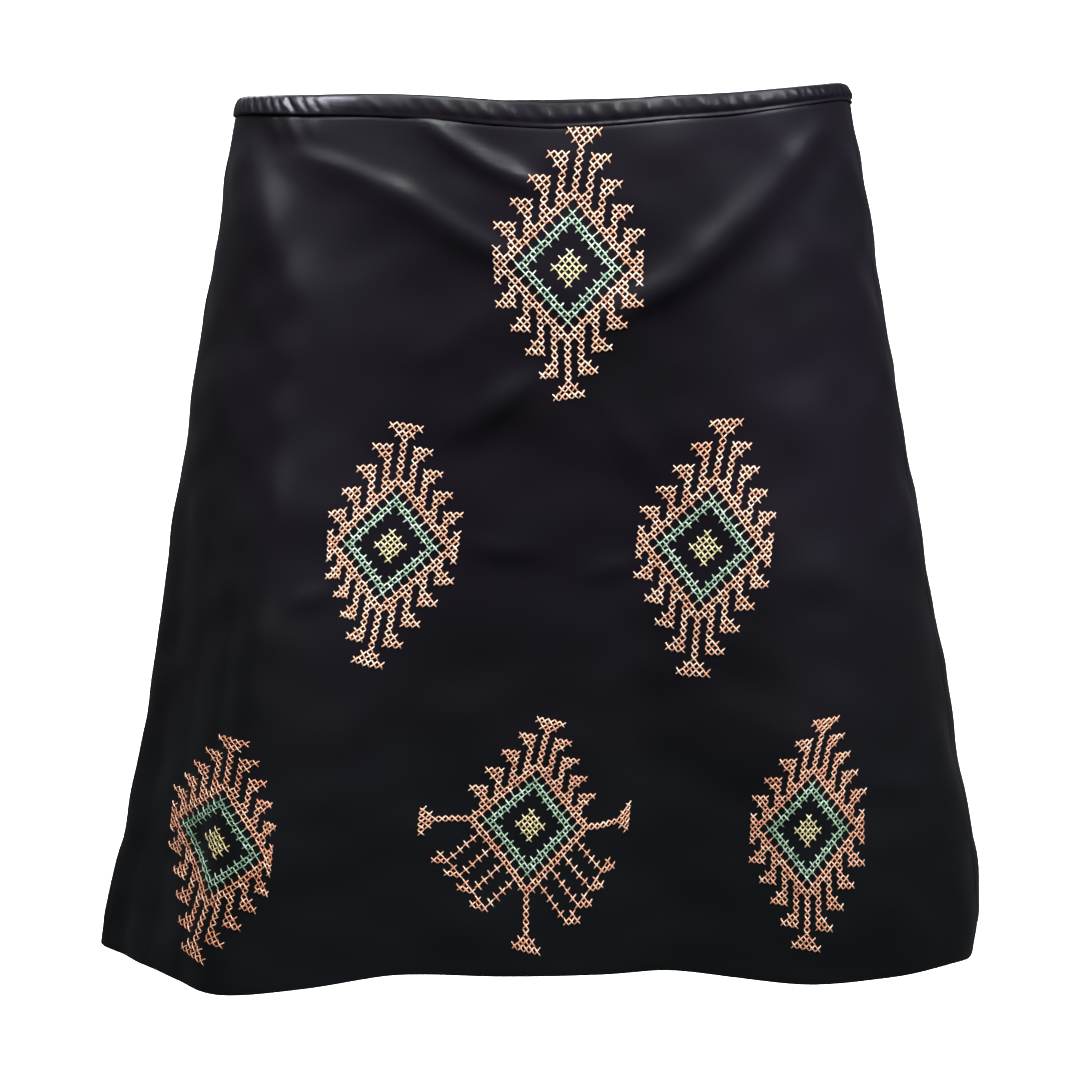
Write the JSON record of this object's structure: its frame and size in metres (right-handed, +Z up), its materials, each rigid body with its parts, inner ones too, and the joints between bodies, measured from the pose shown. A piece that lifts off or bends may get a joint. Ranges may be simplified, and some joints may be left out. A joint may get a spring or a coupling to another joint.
{
  "type": "embroidered skirt",
  "caption": "Hollow A-line satin skirt, filled out as worn, with a narrow waistband, a fluted hem, cross-stitched medallions on the front and a concealed zip at the back.",
  "frame": {"origin": "centre of the waist opening, level with the top of the waistband", "axes": "+Z up out of the waist, -Y towards the front of the skirt, +X towards the wearer's left side"},
  "size_m": [0.4711, 0.233, 0.4623],
  "materials": {
    "satin_front": "black satin with a soft sheen",
    "satin_back_left": "black satin with a soft sheen",
    "satin_back_right": "black satin with a soft sheen",
    "satin_band": "black satin, turned and rolled",
    "slider_metal": "black lacquered zinc",
    "pull_metal": "black lacquered zinc"
  },
  "bodies": {
    "skirt": {"front_panel": "satin_front", "back_panel_left": "satin_back_left", "back_panel_right": "satin_back_right", "waistband": "satin_band", "zip_slider": "slider_metal"},
    "pull": {"zip_pull": "pull_metal"}
  },
  "joints": [
    {"name": "pull_swing", "type": "hinge", "parent": "skirt", "child": "pull", "pos_m": [0, 0.10424, -0.02136], "axis": [1, 0, 0], "range_deg": [-4, 110]}
  ]
}
